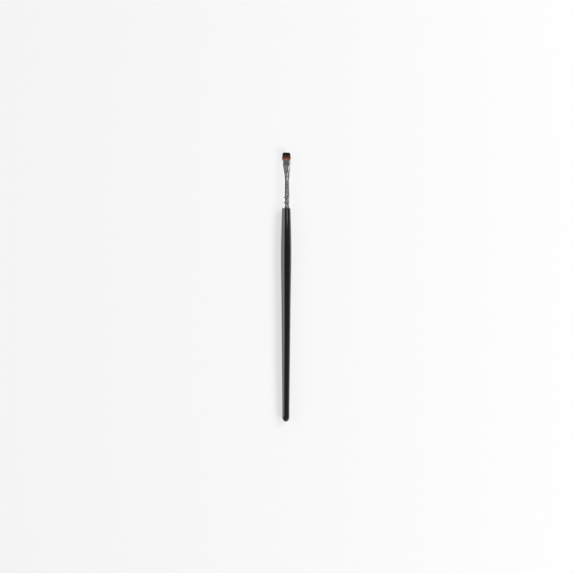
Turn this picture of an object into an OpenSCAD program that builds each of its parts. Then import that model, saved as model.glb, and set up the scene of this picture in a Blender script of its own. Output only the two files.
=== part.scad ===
// A small flat eyeshadow brush: a lacquered wooden handle, a metal ferrule that is crimped
// onto it and pressed flat at its mouth, and a short tuft of fibres set in an epoxy plug.
// The brush lies along Y with its tuft towards +Y. Its belly rests on Z = 0.

/* [Handle] */
// Length of the lacquered handle, from the ferrule to the tip of the tail
handle_l = 134.8; // [120:0.1:160]
// Diameter of the handle where the ferrule ends
shoulder_d = 5.45; // [5.15:0.05:5.9]
// Diameter of the handle at its belly, where the fingers hold it
belly_d = 6.7; // [6.1:0.1:8]
// Distance from the ferrule to the belly
belly_at = 29; // [20:0.5:35]
// Diameter of the handle where the belly runs out into the long taper
waist_d = 5.9; // [5:0.05:6.1]
// Distance from the ferrule to that place
waist_at = 60; // [50:0.5:80]
// Diameter of the handle's tail
tail_d = 4.6; // [4:0.05:5]
// Length of the tail that keeps one diameter
tail_l = 6; // [4:0.5:15]
// Length of the rounded end of the tail
tail_dome_l = 3.2; // [2:0.1:6]
// Thickness of the lacquer on the wood
lacquer_t = 0.18; // [0.08:0.01:0.25]
// Radius of the lacquer's edge at the ferrule
lacquer_edge_r = 0.12; // [0.04:0.01:0.2]

/* [Tenon] */
// Length of the wooden tenon inside the ferrule
tenon_l = 12; // [9:0.1:13]
// Chamfer at the tenon's end
tenon_chamfer = 0.5; // [0.2:0.05:1]
// Thickness of the glue around the tenon
glue_t = 0.1; // [0.05:0.01:0.2]

/* [Ferrule] */
// Length of the ferrule
ferrule_l = 30.2; // [29:0.1:36]
// Outer diameter of the ferrule at the handle
ferrule_d = 4.85; // [4.5:0.05:5]
// Thickness of the ferrule's metal
ferrule_wall = 0.25; // [0.2:0.01:0.35]
// Length of the round cone between the straight barrel and the pressed part
cone_l = 9.5; // [6:0.1:12]
// Outer diameter of the ferrule where the cone ends
throat_d = 4.2; // [3.8:0.05:4.4]
// Outer width of the ferrule's mouth
mouth_w = 5.5; // [4.7:0.05:6]
// Outer thickness of the ferrule's mouth
mouth_t = 2.2; // [2:0.05:3]
// Length of the mouth whose flat faces are parallel
mouth_l = 3.4; // [1:0.1:5]
// How square the pressed mouth is: 2 is an ellipse
mouth_power = 2.5; // [2:0.1:4]

/* [Crimps] */
// Number of crimped rings
crimp_count = 2; // [1:1:3]
// Length of plain barrel between the ferrule's end and the first ring
lip_l = 1.15; // [0.5:0.05:2.5]
// Width of each ring
crimp_w = 2.7; // [2:0.1:3.2]
// Length of each of a ring's two sloping sides
crimp_side_l = 0.8; // [0.4:0.05:1]
// Depth of each ring
crimp_depth = 0.26; // [0.1:0.02:0.4]
// Length of plain barrel between two rings
crimp_gap = 0.6; // [0.2:0.1:2]
// Length of plain barrel after the last ring
land_l = 0.85; // [0.2:0.05:3]

/* [Tuft] */
// Length of the fibres that stands out of the ferrule
tuft_l = 5; // [3.5:0.1:9]
// Greatest width of the tuft
tuft_w = 5.5; // [4.7:0.05:6.5]
// Greatest thickness of the tuft
tuft_t = 2.4; // [2:0.05:3.2]
// Width of the tuft at the tips of its fibres
tip_w = 5; // [4:0.05:6]
// Thickness of the tuft at the tips of its fibres
tip_t = 1.4; // [0.8:0.05:2]
// Radius of the tuft's two rounded corners
corner_r = 1.2; // [0.3:0.1:2]
// How much lower the fibres end at the tuft's two faces
face_drop = 0.45; // [0:0.05:1]
// Length of the fibres inside the ferrule
root_l = 9; // [6:0.5:11]
// Strands across the width
strand_columns = 28; // [25:1:28]
// Strands through the thickness
strand_rows = 12; // [12:1:13]
// Clearance between the tuft and the ferrule's metal
tuft_clear = 0.05; // [0.03:0.01:0.1]

/* [Epoxy] */
// Length of the air space between the tenon and the epoxy
plug_gap = 2.5; // [1:0.5:6]
// Thickness of the slice of epoxy that the fibres grow from
slice_t = 1; // [0.5:0.1:1.5]
// Clearance between the epoxy and the ferrule's metal
plug_clear = 0.03; // [0.02:0.01:0.05]

/* [Hidden] */

total_l = handle_l + ferrule_l + tuft_l;
shoulder_y = handle_l - total_l / 2;
axis_z = belly_d / 2;
tail_at = handle_l - tail_dome_l - tail_l;
crimp_pitch = crimp_w + crimp_gap;
barrel_l = lip_l + crimp_count * crimp_pitch - crimp_gap + land_l;
round_l = barrel_l + cone_l;
root_at = ferrule_l - root_l;
parallel_at = ferrule_l - mouth_l;
plug_start = tenon_l + plug_gap;
plug_end = root_at - slice_t;

// Steps in the outlines
outline_steps = 14;
dome_steps = 12;
edge_steps = 5;
crimp_steps = 5;
press_steps = 8;
ring_sides = 48;
round_sides = 96;

// How far the pressed metal reaches into the round part, and how far inside its faces
seam_l = 0.4;
seam_step = 0.02;

// How fast the handle's diameter grows behind the ferrule, as a share of the distance
shoulder_slope_share = 0.06;

// Shares of its own cell that a strand fills: where the mouth begins and ends, half way out
// and at its tip
strand_fill_shares = [0.9, 0.9, 0.66, 0.4];
// Where the tuft is widest, as a share of its length
bulge_share = 0.3;
// The greatest random shortening of a strand, as a share of the tuft's length
ragged_share = 0.03;
// The angles of a strand's three corners, for the strands of one quarter of the tuft
strand_corners = [225, 345, 105];
// What the random numbers of the tuft start from
seed = 11;

// The frame: the ferrule's end is at z = 0 here, the tuft is above it and the handle below
module along_brush() {
    translate([0, shoulder_y, axis_z])
        rotate([-90, 0, 0])
            children();
}

// A smooth curve from a to b over length l, with the given slopes at its ends
function glide(t, a, b, slope_a, slope_b, l) =
    a * (2 * t^3 - 3 * t^2 + 1) + l * slope_a * (t^3 - 2 * t^2 + t)
    + b * (3 * t^2 - 2 * t^3) + l * slope_b * (t^3 - t^2);

taper_slope = (tail_d - waist_d) / (tail_at - waist_at);

// The lacquered handle's diameter at distance s behind the ferrule
function handle_d(s) =
    s <= belly_at
        ? glide(s / belly_at, shoulder_d, belly_d, shoulder_slope_share, 0, belly_at)
    : s <= waist_at
        ? glide((s - belly_at) / (waist_at - belly_at), belly_d, waist_d, 0, taper_slope,
                waist_at - belly_at)
    : s <= tail_at
        ? waist_d + taper_slope * (s - waist_at)
    : tail_d;

// The places along the handle where its outline has a point, from s = start to the dome
function handle_places(start) = concat(
    [start],
    [for (i = [1 : outline_steps]) belly_at * i / outline_steps],
    [for (i = [1 : outline_steps]) belly_at + (waist_at - belly_at) * i / outline_steps],
    [tail_at, handle_l - tail_dome_l]
);

// The outline of the handle below z = -start, taken in by inset, down to the axis
function handle_outline(start, inset) = concat(
    [for (s = handle_places(start)) [handle_d(s) / 2 - inset, -s]],
    [for (i = [1 : dome_steps])
        let (angle = 90 * i / dome_steps)
        [i == dome_steps ? 0 : (tail_d / 2 - inset) * cos(angle),
         tail_dome_l - handle_l - (tail_dome_l - inset) * sin(angle)]]
);

// The ferrule's outer radius where it is round, at distance f from its end
function dent(f, middle) =
    let (down = (crimp_w / 2 - abs(f - middle)) / crimp_side_l)
    down <= 0 ? 0 : crimp_depth * (1 - cos(180 * min(1, down))) / 2;
function crimp_middle(k) = lip_l + crimp_w / 2 + k * crimp_pitch;
function dents(f, k = 0) = k == crimp_count ? 0 : dent(f, crimp_middle(k)) + dents(f, k + 1);
function cone_d(f) =
    f <= barrel_l
        ? ferrule_d
        : mix(ferrule_d, throat_d, (f - barrel_l) / cone_l);
function barrel_r(f) = cone_d(f) / 2 - dents(f);

// The places along the barrel where its outline has a point, from the end to f = stop
function crimp_places(k) = concat(
    [for (i = [0 : crimp_steps])
        crimp_middle(k) - crimp_w / 2 + crimp_side_l * i / crimp_steps],
    [for (i = [crimp_steps : -1 : 0])
        crimp_middle(k) + crimp_w / 2 - crimp_side_l * i / crimp_steps]
);
function barrel_places(stop) = concat(
    [0],
    [for (k = [0 : crimp_count - 1]) each crimp_places(k)],
    barrel_l < stop ? [barrel_l] : [],
    [stop]
);
function barrel_outline(stop, inset) = [
    for (f = barrel_places(stop)) [barrel_r(f) - inset, f]
];

function reverse(list) = [for (i = [len(list) - 1 : -1 : 0]) list[i]];

tenon_inset = ferrule_wall + glue_t;
tenon_root_r = barrel_r(0) - tenon_inset;

// Turned beech or birch: the body of the handle, and the tenon that the ferrule is crimped on
module handle_core() {
    tenon_end = tenon_l - tenon_chamfer;
    tenon_end_r = barrel_r(tenon_end) - tenon_inset;
    outline = concat(
        [[0, tenon_l], [tenon_end_r - tenon_chamfer, tenon_l]],
        reverse(barrel_outline(tenon_end, tenon_inset)),
        [[tenon_root_r, -lacquer_t]],
        handle_outline(lacquer_t, lacquer_t)
    );
    color("burlywood")
        along_brush()
            rotate_extrude($fn = round_sides)
                polygon(outline);
}

// Black lacquer over the whole handle and its shoulder
module handle_lacquer() {
    edge = [for (i = [0 : edge_steps - 1])
        let (angle = 90 * i / edge_steps)
        [shoulder_d / 2 - lacquer_edge_r * (1 - sin(angle)),
         -lacquer_edge_r * (1 - cos(angle))]];
    outline = concat(
        [[tenon_root_r, 0]],
        edge,
        handle_outline(lacquer_edge_r, 0),
        reverse(handle_outline(lacquer_t, lacquer_t)),
        [[tenon_root_r, -lacquer_t]]
    );
    color("#1b1a1c")
        along_brush()
            rotate_extrude($fn = round_sides)
                polygon(outline);
}

// The film of glue between tenon and ferrule
module tenon_glue() {
    glue_end = tenon_l - tenon_chamfer;
    outline = concat(
        barrel_outline(glue_end, ferrule_wall),
        reverse(barrel_outline(glue_end, tenon_inset))
    );
    color("#d9c48a")
        along_brush()
            rotate_extrude($fn = round_sides)
                polygon(outline);
}

// The value at share t of the way from a to b
function mix(a, b, t) = a + (b - a) * t;

// How far the ferrule is pressed at distance f from its end: 0 is round, 1 is the mouth
function pressed(f) = max(0, min(1, (f - round_l) / (parallel_at - round_l)));
// The ferrule's outer half width, half thickness and squareness there. The two faces come
// together faster and faster towards the mouth.
function half_w(f) = mix(cone_d(min(f, round_l)), mouth_w, pressed(f)) / 2;
function half_t(f) = mix(cone_d(min(f, round_l)), mouth_t, pressed(f)^2) / 2;
function power(f) = mix(2, mouth_power, pressed(f));

// One ring of the pressed part, taken in by inset
function signed_power(x, p) = sign(x) * pow(abs(x), p);
function press_ring(f, inset) = [
    for (i = [0 : ring_sides - 1])
        let (angle = 360 * i / ring_sides, p = 2 / power(f))
        [(half_w(f) - inset) * signed_power(cos(angle), p),
         (half_t(f) - inset) * signed_power(sin(angle), p),
         f]
];
function steps_between(from, to) = [
    for (i = [0 : press_steps]) mix(from, to, i / press_steps)
];

// The faces between each ring of a list and the next one
function ring_faces(rings, sides) = [
    for (k = [0 : rings - 2], i = [0 : sides - 1])
        let (next = (i + 1) % sides, low = k * sides, high = (k + 1) * sides)
        each [
            [low + i, high + i, high + next],
            [low + i, high + next, low + next]
        ]
];

// The pressed part of the ferrule: a tube whose wall runs up outside and down inside. It
// starts within the metal of the round part, a little thinner than that metal.
module pressed_tube() {
    places = concat([round_l - seam_l], steps_between(round_l, parallel_at), [ferrule_l]);
    rings = concat(
        [for (f = places) press_ring(f, seam_step)],
        [for (f = reverse(places)) press_ring(f, ferrule_wall - seam_step)],
        [press_ring(places[0], seam_step)]
    );
    closed = len(rings) - 1;
    points = [for (k = [0 : closed - 1]) each rings[k]];
    faces = [for (face = ring_faces(len(rings), ring_sides))
        [for (corner = face) corner % (closed * ring_sides)]];
    polyhedron(points, faces);
}

// Nickel-plated brass tube
module ferrule() {
    outline = concat(
        barrel_outline(round_l, 0),
        reverse(barrel_outline(round_l, ferrule_wall))
    );
    color("silver")
        along_brush()
            union() {
                rotate_extrude($fn = round_sides)
                    polygon(outline);
                pressed_tube();
            }
}

// Hard epoxy poured in behind the fibres
module epoxy_plug() {
    places = steps_between(plug_start, plug_end);
    inset = ferrule_wall + plug_clear;
    rings = [for (f = places) press_ring(f, inset)];
    points = concat(
        [for (ring = rings) each ring],
        [[0, 0, plug_start], [0, 0, plug_end]]
    );
    low_middle = len(rings) * ring_sides;
    top = low_middle - ring_sides;
    caps = [for (i = [0 : ring_sides - 1])
        let (next = (i + 1) % ring_sides)
        each [[low_middle, i, next], [low_middle + 1, top + next, top + i]]];
    color("#c9a35a")
        along_brush()
            polyhedron(points, concat(ring_faces(len(rings), ring_sides), caps));
}

// The tuft is laid out on a grid of square cells, u across and v through, each from -1 to 1.
// This bends the grid into an oval of half width a, half thickness b and squareness p.
function oval(u, v, a, b, p, z) = [
    a * u * pow(1 - pow(abs(v), p) / 2, 1 / p),
    b * v * pow(1 - pow(abs(u), p) / 2, 1 / p),
    z
];
grid_u = [for (i = [0 : strand_columns]) 2 * i / strand_columns - 1];
grid_v = [for (j = [0 : strand_rows]) 2 * j / strand_rows - 1];
cell_u = 2 / strand_columns;
cell_v = 2 / strand_rows;

// A point of the grid at distance f from the ferrule's end, inside the metal
function packed(u, v, f, inset) =
    oval(u, v, half_w(f) - inset, half_t(f) - inset, power(f), f);

// Where the strand at u, v ends: level in the middle, rounded at the corners and the faces
function corner_drop(x) = x <= 0 ? 0 : corner_r - sqrt(max(0, corner_r^2 - x^2));
function tip_at(u, v, ragged) =
    ferrule_l + tuft_l
    - corner_drop(abs(u) * tip_w / 2 - (tip_w / 2 - corner_r))
    - face_drop * v^2
    - ragged_share * tuft_l * ragged;

// The strands of the four quarters mirror each other, so that their corners lie along the
// outline and not across it. One mirror alone turns the order of the corners round.
function mirror_u(u) = u < 0 ? 1 : -1;
function mirror_v(v) = v < 0 ? -1 : 1;
function turned(u, v) = mirror_u(u) != mirror_v(v);
function corner_order(u, v) = turned(u, v) ? [0, 2, 1] : [0, 1, 2];

// The grid's four corner cells are too slim for a strand
function at_corner(u, v) = abs(u) > 1 - cell_u && abs(v) > 1 - cell_v;

// One ring of a strand: its three corners in the cell round u, v. Sway is from -1 to 1.
function strand_ring(u, v, level, sway, ragged) =
    let (
        fill = strand_fill_shares[level],
        free = 1 - fill,
        tip = tip_at(u, v, ragged)
    )
    [for (corner = corner_order(u, v))
        let (
            angle = strand_corners[corner],
            cu = u + cell_u / 2 * (fill * mirror_u(u) * cos(angle) + free * sway[0]),
            cv = v + cell_v / 2 * (fill * mirror_v(v) * sin(angle) + free * sway[1])
        )
        level == 0 ? packed(cu, cv, parallel_at, ferrule_wall + tuft_clear)
        : level == 1 ? packed(cu, cv, ferrule_l, ferrule_wall + tuft_clear)
        : level == 2 ? oval(cu, cv, tuft_w / 2, tuft_t / 2, mouth_power,
                            mix(ferrule_l, tip, bulge_share))
        : oval(cu, cv, tip_w / 2, tip_t / 2, mouth_power, tip)];

// The grid points at the corners of a cell, in the order of the corners of a strand, and
// then the one that its strand leaves free
function cell_corners(cell, columns) =
    let (
        step_u = mirror_u(cell[0]) / 2,
        step_v = mirror_v(cell[1]) * (columns + 1) / 2,
        middle = cell[2] + (columns + 2) / 2,
        three = [-step_u - step_v, step_u - step_v, step_v - step_u]
    )
    concat(
        [for (corner = corner_order(cell[0], cell[1])) middle + three[corner]],
        [middle + step_u + step_v]
    );

// The fibres, as strands that grow from a slice of the epoxy
module bristle_tuft() {
    columns = strand_columns;
    rows = strand_rows;
    levels = len(strand_fill_shares);
    cells = [for (j = [0 : rows - 1], i = [0 : columns - 1])
        [grid_u[i] + cell_u / 2, grid_v[j] + cell_v / 2, j * (columns + 1) + i]];
    grown = [for (cell = cells) if (!at_corner(cell[0], cell[1])) cell];
    bare = [for (cell = cells) if (at_corner(cell[0], cell[1])) cell];
    strands = len(grown);
    sway_u = rands(-1, 1, strands * levels, seed);
    sway_v = rands(-1, 1, strands * levels, seed + 1);
    ragged = rands(0, 1, strands, seed + 2);
    slice_inset = ferrule_wall + plug_clear;

    top = [for (j = [0 : rows], i = [0 : columns])
        packed(grid_u[i], grid_v[j], root_at, slice_inset)];
    rim = concat(
        [for (i = [0 : columns - 1]) i],
        [for (j = [0 : rows - 1]) j * (columns + 1) + columns],
        [for (i = [columns : -1 : 1]) rows * (columns + 1) + i],
        [for (j = [rows : -1 : 1]) j * (columns + 1)]
    );
    low = [for (corner = rim)
        [top[corner][0], top[corner][1], plug_end]];
    rings = [for (strand = [0 : strands - 1], level = [0 : levels - 1])
        let (cell = grown[strand], sway = strand * levels + level)
        each strand_ring(cell[0], cell[1], level, [sway_u[sway], sway_v[sway]],
                         ragged[strand])];

    first_low = len(top);
    low_middle = first_low + len(low);
    first_ring = low_middle + 1;
    ring_corners = len(strand_corners);

    slice_faces = [for (k = [0 : len(rim) - 1])
        let (next = (k + 1) % len(rim))
        each [
            [first_low + k, rim[k], rim[next]],
            [first_low + k, rim[next], first_low + next],
            [low_middle, first_low + k, first_low + next]
        ]];
    bare_faces = [for (cell = bare)
        let (square = cell_corners(cell, columns))
        each [
            [square[2], square[3], square[1]],
            [square[2], square[1], square[0]]
        ]];
    strand_faces = [for (strand = [0 : strands - 1])
        let (
            cell = grown[strand],
            foot = cell_corners(cell, columns),
            first = first_ring + strand * levels * ring_corners,
            tip = first + (levels - 1) * ring_corners
        )
        each concat(
            [[foot[2], foot[3], foot[1]]],
            [for (level = [0 : levels - 1], m = [0 : ring_corners - 1])
                let (
                    next = (m + 1) % ring_corners,
                    below = level == 0 ? foot
                        : [for (c = [0 : ring_corners - 1])
                            first + (level - 1) * ring_corners + c],
                    above = first + level * ring_corners
                )
                each turned(cell[0], cell[1])
                    ? [[below[m], above + m, below[next]],
                       [below[next], above + m, above + next]]
                    : [[below[m], above + m, above + next],
                       [below[m], above + next, below[next]]]],
            [[for (m = [ring_corners - 1 : -1 : 0]) tip + m]]
        )];

    color("#4a2a1c")
        along_brush()
            polyhedron(
                concat(top, low, [[0, 0, plug_end]], rings),
                concat(slice_faces, bare_faces, strand_faces)
            );
}

handle_core();
handle_lacquer();
tenon_glue();
ferrule();
epoxy_plug();
bristle_tuft();
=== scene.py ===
"""A small flat eyeshadow brush: the lacquered handle, the plated ferrule and the tuft of fibres
are modelled around the fixed frame, and the pieces inside them get their finish."""

import math
import random

import bmesh
import bpy
from bpy.props import FloatProperty, FloatVectorProperty, IntProperty, PointerProperty
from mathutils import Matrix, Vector, noise
from mathutils.kdtree import KDTree


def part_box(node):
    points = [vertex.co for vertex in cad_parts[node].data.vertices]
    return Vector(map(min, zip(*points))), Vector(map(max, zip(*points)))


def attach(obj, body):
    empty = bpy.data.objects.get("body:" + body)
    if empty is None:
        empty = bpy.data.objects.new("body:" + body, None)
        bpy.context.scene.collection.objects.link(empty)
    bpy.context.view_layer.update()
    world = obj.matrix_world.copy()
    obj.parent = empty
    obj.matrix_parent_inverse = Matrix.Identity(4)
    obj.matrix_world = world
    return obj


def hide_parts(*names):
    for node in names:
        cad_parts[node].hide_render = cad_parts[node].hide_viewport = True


bl_info = {
    "name": "Eyeshadow Brush",
    "version": (1, 0, 0),
    "blender": (4, 5, 0),
    "location": "3D Viewport > Sidebar > Brush",
    "description": "A small flat eyeshadow brush, dressed around its fixed frame",
    "category": "Add Mesh",
}

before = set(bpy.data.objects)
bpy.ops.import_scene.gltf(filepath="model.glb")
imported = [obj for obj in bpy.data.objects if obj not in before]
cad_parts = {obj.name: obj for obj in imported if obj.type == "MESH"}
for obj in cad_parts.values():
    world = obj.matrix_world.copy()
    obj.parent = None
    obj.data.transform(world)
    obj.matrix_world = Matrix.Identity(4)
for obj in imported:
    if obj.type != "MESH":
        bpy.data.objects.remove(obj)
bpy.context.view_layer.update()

MM = 0.001
MERGE_WITHIN = 1e-7  # vertices this close become one
SAME_PLACE = 1e-6  # places this close along the brush are the same place
TINY = 1e-5  # a radius or a length below this is none

HANDLE_LOW, HANDLE_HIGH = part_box("handle_lacquer")
TUFT_LOW, TUFT_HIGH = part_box("bristle_tuft")
AXIS_Z = (HANDLE_LOW.z + HANDLE_HIGH.z) / 2
SHOULDER_Y = HANDLE_HIGH.y
MOUTH_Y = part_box("ferrule")[1].y
MIDDLE_Y = (HANDLE_LOW.y + TUFT_HIGH.y) / 2


def length(description, default):
    """A size in metres."""
    return FloatProperty(
        name=description, description=description, default=default,
        subtype="DISTANCE", unit="LENGTH", precision=5,
    )


def share(description, default):
    """A share from 0 to 1."""
    return FloatProperty(
        name=description, description=description, default=default,
        min=0, max=1, subtype="FACTOR",
    )


def colour(description, default):
    """A colour, in linear light."""
    return FloatVectorProperty(
        name=description, description=description, default=default,
        size=3, min=0, max=1, subtype="COLOR",
    )


def angle(description, degrees):
    """An angle, kept in radians."""
    return FloatProperty(
        name=description, description=description, default=math.radians(degrees),
        subtype="ANGLE", unit="ROTATION",
    )


class BrushHandle(bpy.types.PropertyGroup):
    """Sizes and colours of the lacquered handle"""

    sides: IntProperty(
        name="Sides", description="Sides of the round handle", default=96, min=16
    )
    lacquer: colour("Colour of the lacquer", (0.006, 0.0051, 0.0055))
    gloss: share("Roughness of the lacquer", 0.085)


class BrushFerrule(bpy.types.PropertyGroup):
    """Sizes and colours of the plated ferrule"""

    sides: IntProperty(
        name="Sides", description="Sides of the ferrule's tube", default=96, min=16
    )
    wall: length("Thickness of the metal", 0.25 * MM)
    rim_r: length("Rounding of the two rims", 0.07 * MM)
    metal: colour("Colour of the plating", (0.88, 0.855, 0.85))
    tarnish: colour("Colour of the plating where it is dull", (0.64, 0.61, 0.60))
    gloss: share("Roughness of the plating", 0.1)


class BrushTuft(bpy.types.PropertyGroup):
    """Sizes and colours of the tuft"""

    columns: IntProperty(
        name="Columns", description="Fibres across the width", default=76, min=8
    )
    rows: IntProperty(
        name="Rows", description="Fibres through the thickness", default=34, min=4
    )
    fibre_r: length("Radius of a fibre", 0.027 * MM)
    clearance: length("Clearance to the ferrule's metal", 0.05 * MM)
    belly_w: length("Greatest width", 5.5 * MM)
    belly_t: length("Greatest thickness", 2.4 * MM)
    tip_w: length("Width at the tips", 5.0 * MM)
    tip_t: length("Thickness at the tips", 1.4 * MM)
    corner_r: length("Radius of the two rounded corners", 1.2 * MM)
    face_drop: length("How much lower the fibres end at the faces", 0.45 * MM)
    slice_t: length("Thickness of the slice that the fibres grow from", 1.0 * MM)
    belly_share: share("Where the tuft is widest, from the mouth to the tips", 0.3)
    squareness: FloatProperty(
        name="Squareness", description="How square the tuft is: 2 is an ellipse",
        default=2.5, min=2, max=4,
    )
    root: colour("Colour of the fibres at the mouth", (0.32, 0.13, 0.095))
    middle: colour("Colour of the fibres half way out", (0.105, 0.033, 0.022))
    tip: colour("Colour of the tips", (0.014, 0.0055, 0.006))


class BrushInside(bpy.types.PropertyGroup):
    """Colours of the pieces inside the ferrule and the handle"""

    wood: colour("Colour of the wood", (0.55, 0.36, 0.20))
    wood_dark: colour("Colour of the wood's darker grain", (0.34, 0.19, 0.09))
    glue: colour("Colour of the glue", (0.62, 0.50, 0.26))
    epoxy: colour("Colour of the epoxy", (0.52, 0.33, 0.12))


class BrushStage(bpy.types.PropertyGroup):
    """The floor, the lights and the camera"""

    floor: colour("Colour of the floor", (0.94, 0.94, 0.945))
    floor_w: length("Width of the floor", 8.0)
    shadow_share: share("How much of the lamps' shading the floor shows", 0.33)
    camera_h: length("Height of the camera above the brush's axis", 1.0047)
    camera_x: length("How far right of the brush's axis the camera is", 0.25 * MM)
    camera_y: length("How far towards the tuft the camera is", 0.41 * MM)
    camera_roll: angle("Roll of the camera", 0.12)
    lens: FloatProperty(
        name="Lens", description="Focal length of the camera, in millimetres", default=100
    )


SETTINGS = {
    "brush_handle": BrushHandle,
    "brush_ferrule": BrushFerrule,
    "brush_tuft": BrushTuft,
    "brush_inside": BrushInside,
    "brush_stage": BrushStage,
}


# Reading the frame


def outer_sections(node):
    """The outline of a CAD node as (place along the brush, half width, half thickness), from
    the tuft's end to the tail's. Only faces that look away from the axis count."""
    least_outward = 0.01
    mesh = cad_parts[node].data
    sections = {}
    for face in mesh.polygons:
        away = Vector((face.center.x, 0, face.center.z - AXIS_Z))
        if face.normal.dot(away.normalized()) < least_outward:
            continue
        for index in face.vertices:
            x, y, z = mesh.vertices[index].co
            place = round(y, 6)
            w, t = sections.get(place, (0, 0))
            sections[place] = (max(w, abs(x)), max(t, abs(z - AXIS_Z)))
    return [(y, *sections[y]) for y in sorted(sections, reverse=True)]


def section_at(sections, y):
    """The half width and half thickness of an outline at one place."""
    y = max(sections[-1][0], min(sections[0][0], y))
    for (y1, w1, t1), (y2, w2, t2) in zip(sections, sections[1:]):
        if y2 <= y <= y1:
            part = (y - y2) / (y1 - y2)
            return w2 + (w1 - w2) * part, t2 + (t1 - t2) * part


def held_sections(sections, hold):
    """An outline with more places, one close to each end of its long faces, so that a bend
    in the outline doesn't shade the whole face beside it."""
    places = {y for y, w, t in sections}
    for (y1, w1, t1), (y2, w2, t2) in zip(sections, sections[1:]):
        if y1 - y2 > 3 * hold:
            places |= {y1 - hold, y2 + hold}
    return [(y, *section_at(sections, y)) for y in sorted(places, reverse=True)]


# Modelling


def start_piece(name):
    """Rename the primitive that was just added, and open it in edit mode."""
    piece = bpy.context.object
    piece.name = name
    piece.data.name = name
    bpy.ops.object.transform_apply(location=True, rotation=True, scale=True)
    bpy.ops.object.mode_set(mode="EDIT")
    return piece


def select_where(piece, test):
    """Select the vertices of the piece that pass the test, and no others."""
    edit = bmesh.from_edit_mesh(piece.data)
    for vertex in edit.verts:
        vertex.select = bool(test(vertex.co))
    edit.select_mode = {"VERT"}
    edit.select_flush_mode()
    bmesh.update_edit_mesh(piece.data)


def draw_rings(rings):
    """Draw the selected ring out through a list of rings, each (place, radius)."""
    y, r = rings[0]
    for next_y, next_r in rings[1:]:
        bpy.ops.mesh.extrude_edges_move(
            TRANSFORM_OT_translate={"value": (0, next_y - y, 0)}
        )
        bpy.ops.transform.resize(
            value=(next_r / r, 1, next_r / r), center_override=(0, next_y, AXIS_Z)
        )
        y, r = next_y, next_r


def ring_tube(name, sides, rings, fill="NOTHING"):
    """A tube round the brush's axis, drawn out from a circle. It is turned by half a side, so
    that no vertex lies at x = 0. The middle vertex of a filled circle stays where it is."""
    bpy.ops.object.select_all(action="DESELECT")
    first_y, first_r = rings[0]
    half_side = math.pi / sides
    bpy.ops.mesh.primitive_circle_add(
        vertices=sides, radius=first_r, location=(0, first_y, AXIS_Z),
        rotation=(math.pi / 2, half_side, 0), fill_type=fill,
    )
    piece = start_piece(name)
    select_where(piece, lambda co: math.hypot(co.x, co.z - AXIS_Z) > first_r / 2)
    draw_rings(rings)
    return piece


def widen_ring(piece, y, move):
    """Move the two halves of the ring at one place apart, each by the same distance."""
    for side in (-1, 1):
        select_where(piece, lambda co: abs(co.y - y) < SAME_PLACE and co.x * side > 0)
        bpy.ops.transform.translate(value=(side * move, 0, 0))


def close_up():
    """Merge the piece's doubled vertices, point its faces outwards and leave edit mode."""
    bpy.ops.mesh.select_all(action="SELECT")
    bpy.ops.mesh.remove_doubles(threshold=MERGE_WITHIN)
    bpy.ops.mesh.normals_make_consistent(inside=False)
    bpy.ops.object.mode_set(mode="OBJECT")


def finish_shell(piece, thickness=0, rim_r=0):
    """Close up the piece, give a shell its thickness inwards and round its rims."""
    close_up()
    if thickness:
        wall = piece.modifiers.new("wall", "SOLIDIFY")
        wall.thickness = thickness
        wall.offset = -1
        wall.use_even_offset = True
        bpy.ops.object.modifier_apply(modifier=wall.name)
    if rim_r:
        rims = piece.modifiers.new("rims", "BEVEL")
        rims.width = rim_r
        rims.segments = 3
        rims.limit_method = "ANGLE"
        rims.angle_limit = math.radians(60)
        bpy.ops.object.modifier_apply(modifier=rims.name)
    bpy.ops.object.shade_smooth_by_angle(angle=math.radians(40))


def dress(piece, finish, slot, *nodes):
    """Give a finished piece its material and its place in the frame, and hide the CAD nodes
    that it takes the place of.
    """
    piece.data.materials.clear()
    piece.data.materials.append(finish)
    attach(piece, "root")
    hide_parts(*nodes)


# Materials


def new_material(name):
    """A material with a plain Principled shader, as (material, its node tree, the shader)."""
    material = bpy.data.materials.new(name)
    material.use_nodes = True
    shader = material.node_tree.nodes["Principled BSDF"]
    return material, material.node_tree, shader


def connect(tree, node, place, value):
    """Link a socket to the input at a name or number, or set that input's value."""
    if isinstance(value, bpy.types.NodeSocket):
        tree.links.new(value, node.inputs[place])
    else:
        node.inputs[place].default_value = value


def add_node(tree, kind, **inputs):
    """Add a node and set its inputs by name."""
    node = tree.nodes.new(kind)
    for name, value in inputs.items():
        connect(tree, node, name.replace("_", " ").title(), value)
    return node


def maths(tree, operation, *values):
    """The result of one step of arithmetic."""
    node = tree.nodes.new("ShaderNodeMath")
    node.operation = operation
    for index, value in enumerate(values):
        connect(tree, node, index, value)
    return node.outputs[0]


def mix_shaders(tree, share_value, first, second):
    """A shader between two shaders."""
    node = tree.nodes.new("ShaderNodeMixShader")
    for index, value in enumerate((share_value, first, second)):
        connect(tree, node, index, value)
    return node.outputs[0]


def stretched(tree, scale):
    """The object's own coordinates, in millimetres, scaled along each axis."""
    place = tree.nodes.new("ShaderNodeTexCoord")
    mapping = add_node(tree, "ShaderNodeMapping", vector=place.outputs["Object"])
    mapping.inputs["Scale"].default_value = Vector(scale) / MM
    return mapping.outputs["Vector"]


def grain(tree, scale, detail=3, roughness=0.5):
    """Noise with the given number of grains per millimetre along each axis."""
    node = add_node(
        tree, "ShaderNodeTexNoise", vector=stretched(tree, scale), scale=1.0,
        detail=float(detail), roughness=roughness,
    )
    return node.outputs["Fac"]


def spread(tree, value, low, high, from_low=0.3, from_high=0.7):
    """Map a value to the range from low to high. Most noise lies between 0.3 and 0.7."""
    node = add_node(
        tree, "ShaderNodeMapRange", value=value, from_min=from_low, from_max=from_high,
        to_min=low, to_max=high,
    )
    return node.outputs["Result"]


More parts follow.
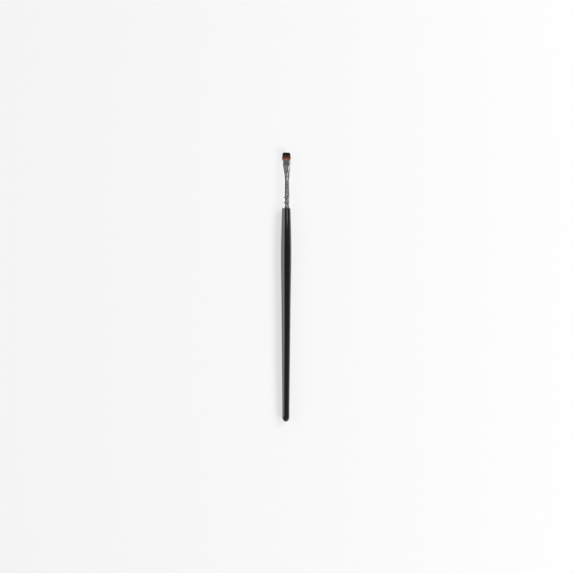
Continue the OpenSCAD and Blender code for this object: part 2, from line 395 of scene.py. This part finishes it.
def blend(tree, share_value, first, second):
    """A colour between two colours."""
    node = tree.nodes.new("ShaderNodeMix")
    node.data_type = "RGBA"
    for index, value in ((0, share_value), (6, first), (7, second)):
        connect(tree, node, index, value)
    return node.outputs[2]


def rgba(values):
    """A colour with full opacity."""
    return (*values, 1.0)


def shades(tint, dark, light):
    """A darker and a lighter shade of a colour, each so many times as bright."""
    return rgba(Vector(tint) * dark), rgba(Vector(tint) * light)


def add_bump(tree, shader, height, strength, depth):
    """A bump on the shader, depth metres high at full strength."""
    node = add_node(tree, "ShaderNodeBump", height=height, strength=strength, distance=depth)
    tree.links.new(node.outputs["Normal"], shader.inputs["Normal"])


def lacquer_material(settings):
    """Gloss black lacquer with a faint orange peel and fine polishing marks."""
    material, tree, shader = new_material("gloss_lacquer")
    clouds = grain(tree, (0.25, 0.03, 0.25), detail=4)
    marks = grain(tree, (6, 0.25, 6), detail=5, roughness=0.65)
    peel = grain(tree, (0.9, 0.45, 0.9), detail=1)
    connect(tree, shader, "Base Color", blend(
        tree, spread(tree, clouds, 0, 1), *shades(settings.lacquer, dark=0.8, light=1.25)
    ))
    connect(tree, shader, "Roughness", spread(
        tree, marks, low=settings.gloss * 0.75, high=settings.gloss * 1.4
    ))
    shader.inputs["IOR"].default_value = 1.5
    shader.inputs["Coat Weight"].default_value = 1.0
    shader.inputs["Coat Roughness"].default_value = 0.04
    add_bump(tree, shader, peel, strength=0.35, depth=0.012 * MM)
    return material


def plating_material(settings):
    """Nickel plating on drawn brass tube: fine lines along it, a little dull in places."""
    material, tree, shader = new_material("nickel_plating")
    clouds = grain(tree, (0.5, 0.12, 0.5), detail=5, roughness=0.6)
    lines = grain(tree, (9, 0.04, 9), detail=4, roughness=0.7)
    connect(tree, shader, "Base Color", blend(
        tree, spread(tree, clouds, low=0, high=0.6, from_low=0.42, from_high=0.75),
        rgba(settings.metal), rgba(settings.tarnish),
    ))
    connect(tree, shader, "Roughness", spread(
        tree, lines, low=settings.gloss * 0.8, high=settings.gloss * 1.25
    ))
    shader.inputs["Metallic"].default_value = 1.0
    add_bump(tree, shader, lines, strength=0.1, depth=0.006 * MM)
    return material


def stored_value(tree, name):
    """A number that the mesh holds at each of its vertices."""
    node = tree.nodes.new("ShaderNodeAttribute")
    node.attribute_name = name
    return node.outputs["Fac"]


def fibre_material(settings):
    """Fibres that are copper brown at the mouth and nearly black at their tips, some darker
    and some lighter than others."""
    material, tree, shader = new_material("dyed_fibre")
    ramp = add_node(tree, "ShaderNodeValToRGB", fac=stored_value(tree, "along"))
    stops = ramp.color_ramp.elements
    stops[0].position, stops[0].color = 0.14, rgba(settings.root)
    stops[1].position, stops[1].color = 0.86, rgba(settings.tip)
    stops.new(0.42).color = rgba(settings.middle)
    dark, light = (
        add_node(tree, "ShaderNodeHueSaturation", color=ramp.outputs["Color"], value=value)
        for value in (0.55, 1.5)
    )
    connect(tree, shader, "Base Color", blend(
        tree, stored_value(tree, "tone"), dark.outputs["Color"], light.outputs["Color"]
    ))
    shader.inputs["Roughness"].default_value = 0.42
    shader.inputs["Specular IOR Level"].default_value = 0.4
    return material


def wood_material(settings):
    """Turned beech with long grain and short dark flecks."""
    material, tree, shader = new_material("turned_beech")
    long_grain = grain(tree, (1.6, 0.05, 1.6), detail=6, roughness=0.6)
    flecks = grain(tree, (5, 0.5, 5), detail=2)
    tint = blend(
        tree, spread(tree, long_grain, 0, 1), rgba(settings.wood_dark), rgba(settings.wood)
    )
    connect(tree, shader, "Base Color", blend(
        tree, spread(tree, flecks, low=0, high=0.5, from_low=0.6, from_high=0.75),
        tint, rgba(settings.wood_dark),
    ))
    connect(tree, shader, "Roughness", spread(tree, flecks, low=0.5, high=0.75))
    add_bump(tree, shader, long_grain, strength=0.4, depth=0.05 * MM)
    return material


def resin_material(name, tint, roughness):
    """Set resin or glue, with small bubbles and a cloudy tone."""
    material, tree, shader = new_material(name)
    clouds = grain(tree, (0.8, 0.8, 0.8), detail=4)
    bubbles = add_node(
        tree, "ShaderNodeTexVoronoi", vector=stretched(tree, (2.5, 2.5, 2.5)), scale=1.0
    )
    connect(tree, shader, "Base Color", blend(
        tree, spread(tree, clouds, 0, 1), *shades(tint, dark=0.75, light=1)
    ))
    connect(tree, shader, "Roughness", spread(
        tree, clouds, low=roughness, high=roughness * 1.6
    ))
    add_bump(tree, shader, bubbles.outputs["Distance"], strength=0.3, depth=0.03 * MM)
    return material


# The pieces


class BRUSH_OT_handle(bpy.types.Operator):
    """Add the lacquered skin of the handle"""

    bl_idname = "brush.handle"
    bl_label = "Lacquered Handle"

    def execute(self, context):
        settings = context.scene.brush_handle
        skin = outer_sections("handle_lacquer")
        core = outer_sections("handle_core")
        tenon_r = section_at(core, SHOULDER_Y)[0]
        # Inside over the core from the tail to the shoulder, then outside back to the tail
        inside = [(y, w) for y, w, t in reversed(core) if w > TINY and y < SHOULDER_Y - TINY]
        rings = inside + [(inside[-1][0], tenon_r), (SHOULDER_Y, tenon_r)]
        rings += [(y, w) for y, w, t in skin if w > TINY]
        handle = ring_tube("lacquered_handle", settings.sides, rings, fill="TRIFAN")
        bpy.ops.mesh.extrude_edges_move(
            TRANSFORM_OT_translate={"value": (0, skin[-1][0] - rings[-1][0], 0)}
        )
        bpy.ops.mesh.merge(type="CENTER")
        finish_shell(handle)
        dress(handle, lacquer_material(settings), "black_lacquer", "handle_lacquer")
        return {"FINISHED"}


class BRUSH_OT_ferrule(bpy.types.Operator):
    """Add the crimped ferrule, which is pressed flat at its mouth"""

    bl_idname = "brush.ferrule"
    bl_label = "Plated Ferrule"

    HOLD = 0.2 * MM  # from a bend in the outline to the ring that is added beside it

    def execute(self, context):
        settings = context.scene.brush_ferrule
        sections = held_sections(outer_sections("ferrule"), self.HOLD)
        ferrule = ring_tube(
            "plated_ferrule", settings.sides, [(y, t) for y, w, t in sections]
        )
        for y, w, t in sections:
            widen_ring(ferrule, y, w - t)
        finish_shell(ferrule, settings.wall, settings.rim_r)
        dress(ferrule, plating_material(settings), "plated_metal", "ferrule")
        return {"FINISHED"}


def oval(u, v, half_w, half_t, squareness):
    """Bend a point of a square, from -1 to 1 each way, into an oval."""
    x = half_w * u * (1 - abs(v) ** squareness / 2) ** (1 / squareness)
    z = half_t * v * (1 - abs(u) ** squareness / 2) ** (1 / squareness)
    return x, z


def tuft_half_sizes(settings, mouth, out):
    """Half width and half thickness of the tuft at a share of the way out from the mouth."""
    belly = (settings.belly_w / 2, settings.belly_t / 2)
    tip = (settings.tip_w / 2, settings.tip_t / 2)
    widest = settings.belly_share
    if out <= widest:
        part = math.sin(math.pi / 2 * out / widest)
        return [a + (b - a) * part for a, b in zip(mouth, belly)]
    part = 1 - math.cos(math.pi / 2 * (out - widest) / (1 - widest))
    return [a + (b - a) * part for a, b in zip(belly, tip)]


def tip_place(settings, u, v):
    """Where the fibre at u, v ends: rounded at the corners and lower at the faces."""
    over = abs(u) * settings.tip_w / 2 - (settings.tip_w / 2 - settings.corner_r)
    drop = settings.face_drop * v * v
    if over > 0:
        drop += settings.corner_r - math.sqrt(max(0, settings.corner_r**2 - over**2))
    return TUFT_HIGH.y - drop


class BRUSH_OT_tuft(bpy.types.Operator):
    """Add the fibres and the slice of epoxy that they grow from"""

    bl_idname = "brush.tuft"
    bl_label = "Fibre Tuft"

    SEED = 11
    # Where a fibre has its points, from its root to the mouth and from the mouth to its tip,
    # and how thick it is at those outside
    INSIDE_SHARES = (0.0, 0.62, 1.0)
    OUT_SHARES = (0.18, 0.38, 0.58, 0.8, 1.0)
    RADIUS_SHARES = (1.0, 1.0, 0.95, 0.72, 0.35)
    # How much of its reach a fibre may lack, how many lack more, and how much more
    RAGGED_SHARE = 0.03
    SHORT_CHANCE = 0.02
    SHORT_SHARE = 0.1
    # How far a tip sways across and through the tuft, alone and with its clump, how fine the
    # clumps are each way, and the layers of noise that move them each way
    SWAY = (0.02, 0.05)
    CLUMP_SWAY = (0.035, 0.09)
    CLUMP_SCALE = (4, 2)
    CLUMP_LAYERS = (0.5, 10.5)
    # A fibre's tone is a random share raised to a power. The power grows from the middle to
    # the sides, so the sides are darker.
    MIDDLE_POWER = 0.7
    SIDE_POWER = 1.5
    SLICE_SIDES = 48

    def execute(self, context):
        settings = context.scene.brush_tuft
        inset = context.scene.brush_ferrule.wall + settings.clearance
        sections = outer_sections("ferrule")
        draw = random.Random(self.SEED)

        bpy.ops.object.select_all(action="DESELECT")
        strands = bpy.data.curves.new("fibre_tuft", "CURVE")
        strands.dimensions = "3D"
        strands.bevel_depth = settings.fibre_r
        strands.bevel_resolution = 0
        strands.use_fill_caps = True
        lines = []
        for row in range(settings.rows):
            for column in range(settings.columns):
                lines += self.add_fibre(
                    strands, settings, sections, inset, row, column, draw
                )
        tuft = bpy.data.objects.new("fibre_tuft", strands)
        context.collection.objects.link(tuft)
        context.view_layer.objects.active = tuft
        tuft.select_set(True)
        bpy.ops.object.convert(target="MESH")
        tuft = context.object
        bpy.ops.object.mode_set(mode="EDIT")
        close_up()
        self.paint_fibres(tuft, lines)
        bpy.ops.object.shade_smooth()

        plate = self.add_slice(settings, sections, inset)
        bpy.ops.object.select_all(action="DESELECT")
        plate.select_set(True)
        tuft.select_set(True)
        context.view_layer.objects.active = tuft
        bpy.ops.object.join()
        dress(tuft, fibre_material(settings), "fibre", "bristle_tuft")
        return {"FINISHED"}

    def clump_shift(self, u, v):
        """How far the clump at u, v moves each way. Plain noise is the same in each run, which
        Blender's noise_vector isn't."""
        across, through = self.CLUMP_SCALE
        return [
            noise.noise(Vector((across * u, through * v, layer)))
            for layer in self.CLUMP_LAYERS
        ]

    def add_fibre(self, strands, settings, sections, inset, row, column, draw):
        """Add one fibre, and return its line of points from the slice to its tip."""
        u = 2 * (column + 0.5 + 0.5 * (row % 2 - 0.5)) / settings.columns - 1
        v = 2 * (row + 0.5) / settings.rows - 1
        sway_u, sway_v = draw.uniform(-1, 1), draw.uniform(-1, 1)
        tip_y = tip_place(settings, u, v)
        reach = tip_y - MOUTH_Y
        shorter = self.RAGGED_SHARE * draw.random()
        if draw.random() < self.SHORT_CHANCE:
            shorter += self.SHORT_SHARE * draw.random()
        tip_y -= shorter * reach
        clump_u, clump_v = self.clump_shift(u, v)

        places = []
        root_y = TUFT_LOW.y + settings.slice_t / 2
        for inside in self.INSIDE_SHARES:
            y = root_y + (MOUTH_Y - root_y) * inside
            mouth = [half - inset for half in section_at(sections, y)]
            places.append((y, mouth, 0.0, 1.0))
        for out, radius in zip(self.OUT_SHARES, self.RADIUS_SHARES):
            y = MOUTH_Y + (tip_y - MOUTH_Y) * out
            places.append((y, tuft_half_sizes(settings, mouth, out), out, radius))

        tone = draw.random() ** (self.MIDDLE_POWER + self.SIDE_POWER * u * u)
        line = []
        spline = strands.splines.new("POLY")
        spline.points.add(len(places) - 1)
        for point, (y, (half_w, half_t), out, radius) in zip(spline.points, places):
            loose_u = u + (sway_u * self.SWAY[0] + clump_u * self.CLUMP_SWAY[0]) * out
            loose_v = v + (sway_v * self.SWAY[1] + clump_v * self.CLUMP_SWAY[1]) * out
            limit = 1 - settings.fibre_r / half_t
            x, z = oval(
                max(-limit, min(limit, loose_u)), max(-limit, min(limit, loose_v)),
                half_w, half_t, settings.squareness,
            )
            point.co = (x, y, AXIS_Z + z, 1)
            point.radius = radius
            line.append((Vector(point.co[:3]), out, tone))
        return line

    def paint_fibres(self, tuft, lines):
        """Store how far along its fibre each vertex is, and the tone of its fibre."""
        mesh = tuft.data
        tree = KDTree(len(lines))
        for index, (place, out, tone) in enumerate(lines):
            tree.insert(place, index)
        tree.balance()
        alongs = mesh.attributes.new("along", "FLOAT", "POINT").data
        tones = mesh.attributes.new("tone", "FLOAT", "POINT").data
        for vertex in mesh.vertices:
            place, out, tone = lines[tree.find(vertex.co)[1]]
            alongs[vertex.index].value = out
            tones[vertex.index].value = tone

    def add_slice(self, settings, sections, inset):
        """The slice of epoxy at the fibres' roots."""
        low, high = TUFT_LOW.y, TUFT_LOW.y + settings.slice_t
        half_w, half_t = [half - inset for half in section_at(sections, low)]
        plate = ring_tube("fibre_slice", self.SLICE_SIDES, [(low, half_t), (high, half_t)])
        for end in (low, high):
            widen_ring(plate, end, half_w - half_t)
            select_where(plate, lambda co: abs(co.y - end) < SAME_PLACE)
            bpy.ops.mesh.edge_face_add()
        close_up()
        return plate


class BRUSH_OT_inside(bpy.types.Operator):
    """Give the wooden core, the glue and the epoxy plug their finishes"""

    bl_idname = "brush.inside"
    bl_label = "Pieces Inside"

    def execute(self, context):
        settings = context.scene.brush_inside
        finishes = {
            "handle_core": wood_material(settings),
            "tenon_glue": resin_material("wood_glue", settings.glue, 0.45),
            "epoxy_plug": resin_material("amber_epoxy", settings.epoxy, 0.15),
        }
        for node, finish in finishes.items():
            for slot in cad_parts[node].material_slots:
                slot.material = finish
        return {"FINISHED"}


# The stage

SHADOWS_FADE_FROM, SHADOWS_FADE_TO = 0.35, 1.4  # distances from the frame's origin
MATT_LIGHT = 0.25  # the world's strength on matt surfaces
GLOSS_OVERHEAD, GLOSS_AT_ENDS = 0.11, 0.36  # and its strength in gloss


def stage_plane(name, size, place, turn=(0, 0, 0)):
    """A flat sheet of the stage. Its size is (width, length)."""
    bpy.ops.object.select_all(action="DESELECT")
    bpy.ops.mesh.primitive_plane_add(size=1, location=place, rotation=turn)
    sheet = bpy.context.object
    sheet.name = name
    sheet.scale = (*size, 1)
    return sheet


def bare_material(name):
    """A material with nothing but its output, as (material, its node tree, the output)."""
    material = bpy.data.materials.new(name)
    material.use_nodes = True
    tree = material.node_tree
    tree.nodes.clear()
    return material, tree, tree.nodes.new("ShaderNodeOutputMaterial")


def floor_material(settings):
    """A pale floor. Part of its brightness is its own, so that the shadows stay light, and far
    out all of it is, so that the floor meets the background unseen."""
    material, tree, output = bare_material("pale_floor")
    tint = rgba(settings.floor)
    matt = add_node(tree, "ShaderNodeBsdfDiffuse", color=tint)
    glow = add_node(tree, "ShaderNodeEmission", color=tint, strength=1.0)
    ray = tree.nodes.new("ShaderNodeLightPath")
    seen = maths(tree, "MAXIMUM", ray.outputs["Is Camera Ray"], ray.outputs["Is Glossy Ray"])
    place = tree.nodes.new("ShaderNodeNewGeometry")
    reach = tree.nodes.new("ShaderNodeVectorMath")
    reach.operation = "LENGTH"
    connect(tree, reach, 0, place.outputs["Position"])
    glow_share = spread(
        tree, reach.outputs["Value"], low=1 - settings.shadow_share, high=1.0,
        from_low=SHADOWS_FADE_FROM, from_high=SHADOWS_FADE_TO,
    )
    own_share = maths(tree, "MULTIPLY", seen, glow_share)
    connect(tree, output, "Surface", mix_shaders(
        tree, own_share, matt.outputs[0], glow.outputs[0]
    ))
    return material


def panel_material(name, strength, rise, fall, clear=False):
    """Light of a panel that rises between two places along the brush and falls between two
    others. A clear panel shows what is behind it too."""
    material, tree, output = bare_material(name)
    place = tree.nodes.new("ShaderNodeNewGeometry")
    split = add_node(tree, "ShaderNodeSeparateXYZ", vector=place.outputs["Position"])
    along = split.outputs["Y"]
    risen = spread(tree, along, 0, 1, from_low=rise[0], from_high=rise[1])
    not_fallen = spread(tree, along, 0, 1, from_low=fall[1], from_high=fall[0])
    both = maths(tree, "MULTIPLY", risen, not_fallen)
    level = maths(tree, "MULTIPLY", both, strength)
    shown = add_node(tree, "ShaderNodeEmission", strength=level).outputs[0]
    if clear:
        glass = tree.nodes.new("ShaderNodeBsdfTransparent")
        both_shown = tree.nodes.new("ShaderNodeAddShader")
        connect(tree, both_shown, 0, shown)
        connect(tree, both_shown, 1, glass.outputs[0])
        shown = both_shown.outputs[0]
    connect(tree, output, "Surface", shown)
    return material


def reflected_panel(sheet, material):
    """A panel that only gloss shows."""
    sheet.data.materials.append(material)
    sheet.visible_camera = False
    sheet.visible_diffuse = False
    sheet.visible_shadow = False
    sheet.visible_transmission = False


def softbox(name, watts, size, azimuth, elevation, distance):
    """A square lamp that looks at the brush. Azimuth is from +X towards +Y."""
    flat = math.cos(elevation) * distance
    place = Vector((
        flat * math.cos(azimuth), flat * math.sin(azimuth), math.sin(elevation) * distance
    ))
    bpy.ops.object.light_add(type="AREA", location=place)
    lamp = bpy.context.object
    lamp.name = name
    lamp.data.energy = watts
    lamp.data.shape = "SQUARE"
    lamp.data.size = size
    lamp.visible_glossy = False
    lamp.rotation_euler = place.to_track_quat("Z", "Y").to_euler()
    return lamp


def studio_world(settings):
    """Pale behind the object, and dim where it lights matt surfaces. In gloss it is darkest
    overhead and lighter towards the brush's two ends."""
    world = bpy.data.worlds.new("studio")
    bpy.context.scene.world = world
    world.use_nodes = True
    tree = world.node_tree
    tree.nodes.clear()
    place = tree.nodes.new("ShaderNodeTexCoord")
    split = add_node(tree, "ShaderNodeSeparateXYZ", vector=place.outputs["Generated"])
    to_ends = maths(tree, "ABSOLUTE", split.outputs["Y"])
    gloss = spread(tree, to_ends, GLOSS_OVERHEAD, GLOSS_AT_ENDS, from_low=0, from_high=1)
    dim, shiny, pale = (
        add_node(tree, "ShaderNodeBackground", color=rgba(tint), strength=strength).outputs[0]
        for tint, strength in (
            ((1, 1, 1), MATT_LIGHT), ((1, 1, 1), gloss), (settings.floor, 1.0)
        )
    )
    ray = tree.nodes.new("ShaderNodeLightPath")
    unseen = mix_shaders(tree, ray.outputs["Is Glossy Ray"], dim, shiny)
    shown = mix_shaders(tree, ray.outputs["Is Camera Ray"], unseen, pale)
    output = tree.nodes.new("ShaderNodeOutputWorld")
    connect(tree, output, "Surface", shown)


class BRUSH_OT_stage(bpy.types.Operator):
    """Add the floor, the lights and the camera"""

    bl_idname = "brush.stage"
    bl_label = "Stage"

    # Upright panels: the name, the place across, the low and the high edge, the strength,
    # where along the brush the light rises, and whether only the lacquer shows it
    WALLS = (
        ("left_panel", -0.7, 0.0, 0.49, 1.45, (-0.2, -0.165), False),
        ("lacquer_panel_low", -0.698, 0.0, 0.49, 0.7, (-0.2, -0.165), True),
        ("lacquer_panel_high", -0.698, 0.49, 0.79, 2.15, (-0.15, -0.075), True),
    )
    WALL_LENGTH = 2.6
    WALL_FALL = (1.0, 1.2)
    # Strips overhead: the name, the place across, the width, the strength, and where along
    # the brush the light rises and falls
    STRIPS = (
        ("right_strip", 1.0, 0.14, 2.5, (0.27, 0.5), (0.65, 0.85)),
        ("cone_strip", 0.78, 0.3, 4.5, (0.42, 0.48), (0.6, 0.68)),
        ("fold_strip", 0.5, 0.4, 1.6, (0.28, 0.29), (0.33, 0.36)),
        ("throat_strip", 0.5, 0.4, 2.6, (0.165, 0.17), (0.197, 0.205)),
        ("fold_glow", -0.2, 1.0, 0.35, (0.265, 0.28), (0.34, 0.38)),
    )
    STRIP_Z = 1.2
    # Lamps: the name, the watts, the azimuth and the elevation in degrees, and whether the
    # light passes through the head, which keeps the head's shadow pale
    SOFTBOXES = (
        ("right_softbox_low", 8.4, -40, 37, False),
        ("right_softbox_high", 8.4, 40, 37, True),
        ("left_softbox", 2.4, 180, 35, False),
    )
    SOFTBOX_SIZE = 0.5
    SOFTBOX_DISTANCE = 1.2
    SENSOR_WIDTH = 36
    VIEW_END = 100

    def execute(self, context):
        settings = context.scene.brush_stage
        floor = stage_plane("floor", (settings.floor_w, settings.floor_w), (0, 0, 0))
        floor.data.materials.append(floor_material(settings))
        self.add_panels()
        self.add_lamps()
        studio_world(settings)
        self.add_camera(context, settings)
        context.scene.view_settings.view_transform = "Standard"
        return {"FINISHED"}

    def add_panels(self):
        """The panels that gloss shows, at the brush's left and overhead."""
        lacquer_only = bpy.data.collections.new("lacquer_only")
        lacquer_only.objects.link(bpy.data.objects["lacquered_handle"])
        for name, x, low, high, strength, rise, on_lacquer in self.WALLS:
            wall = stage_plane(
                name, (high - low, self.WALL_LENGTH), (x, 0, (low + high) / 2),
                turn=(0, math.pi / 2, 0),
            )
            reflected_panel(wall, panel_material(
                name, strength, rise, self.WALL_FALL, clear=on_lacquer
            ))
            if on_lacquer:
                wall.light_linking.receiver_collection = lacquer_only
        for name, x, width, strength, rise, fall in self.STRIPS:
            start, end = rise[0], fall[1]
            strip = stage_plane(
                name, (width, end - start), (x, (start + end) / 2, self.STRIP_Z)
            )
            reflected_panel(strip, panel_material(name, strength, rise, fall))

    def add_lamps(self):
        """The lamps, one of which casts no shadow of the brush's head."""
        head = bpy.data.collections.new("head")
        for name in ("plated_ferrule", "fibre_tuft"):
            head.objects.link(bpy.data.objects[name])
        for node in ("handle_core", "tenon_glue", "epoxy_plug"):
            head.objects.link(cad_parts[node])
        for member in head.collection_objects:
            member.light_linking.link_state = "EXCLUDE"
        for name, watts, azimuth, elevation, past_head in self.SOFTBOXES:
            lamp = softbox(
                name, watts, self.SOFTBOX_SIZE, math.radians(azimuth),
                math.radians(elevation), self.SOFTBOX_DISTANCE,
            )
            if past_head:
                lamp.light_linking.blocker_collection = head

    def add_camera(self, context, settings):
        """The camera, which looks straight down."""
        bpy.ops.object.camera_add(
            location=(
                settings.camera_x, MIDDLE_Y + settings.camera_y, AXIS_Z + settings.camera_h
            ),
            rotation=(0, 0, settings.camera_roll),
        )
        camera = context.object
        camera.data.lens = settings.lens
        camera.data.sensor_width = self.SENSOR_WIDTH
        camera.data.clip_end = self.VIEW_END
        context.scene.camera = camera


# The add-on


class BRUSH_PT_panel(bpy.types.Panel):
    """The brush's pieces and their settings"""

    bl_label = "Eyeshadow Brush"
    bl_space_type = "VIEW_3D"
    bl_region_type = "UI"
    bl_category = "Brush"

    def draw(self, context):
        for operator, settings in STEPS:
            box = self.layout.box()
            box.operator(operator.bl_idname)
            for prop in SETTINGS[settings].__annotations__:
                box.prop(getattr(context.scene, settings), prop)


STEPS = (
    (BRUSH_OT_handle, "brush_handle"),
    (BRUSH_OT_ferrule, "brush_ferrule"),
    (BRUSH_OT_tuft, "brush_tuft"),
    (BRUSH_OT_inside, "brush_inside"),
    (BRUSH_OT_stage, "brush_stage"),
)
CLASSES = (*SETTINGS.values(), *(operator for operator, settings in STEPS), BRUSH_PT_panel)


def register():
    """Add the classes, and give the scene its settings."""
    for kind in CLASSES:
        bpy.utils.register_class(kind)
    for name, kind in SETTINGS.items():
        setattr(bpy.types.Scene, name, PointerProperty(type=kind))


def unregister():
    """Take the settings and the classes out again."""
    for name in SETTINGS:
        delattr(bpy.types.Scene, name)
    for kind in reversed(CLASSES):
        bpy.utils.unregister_class(kind)


def main():
    """Build the brush and its stage."""
    register()
    bpy.ops.brush.handle()
    bpy.ops.brush.ferrule()
    bpy.ops.brush.tuft()
    bpy.ops.brush.inside()
    bpy.ops.brush.stage()


if __name__ == "__main__":
    main()
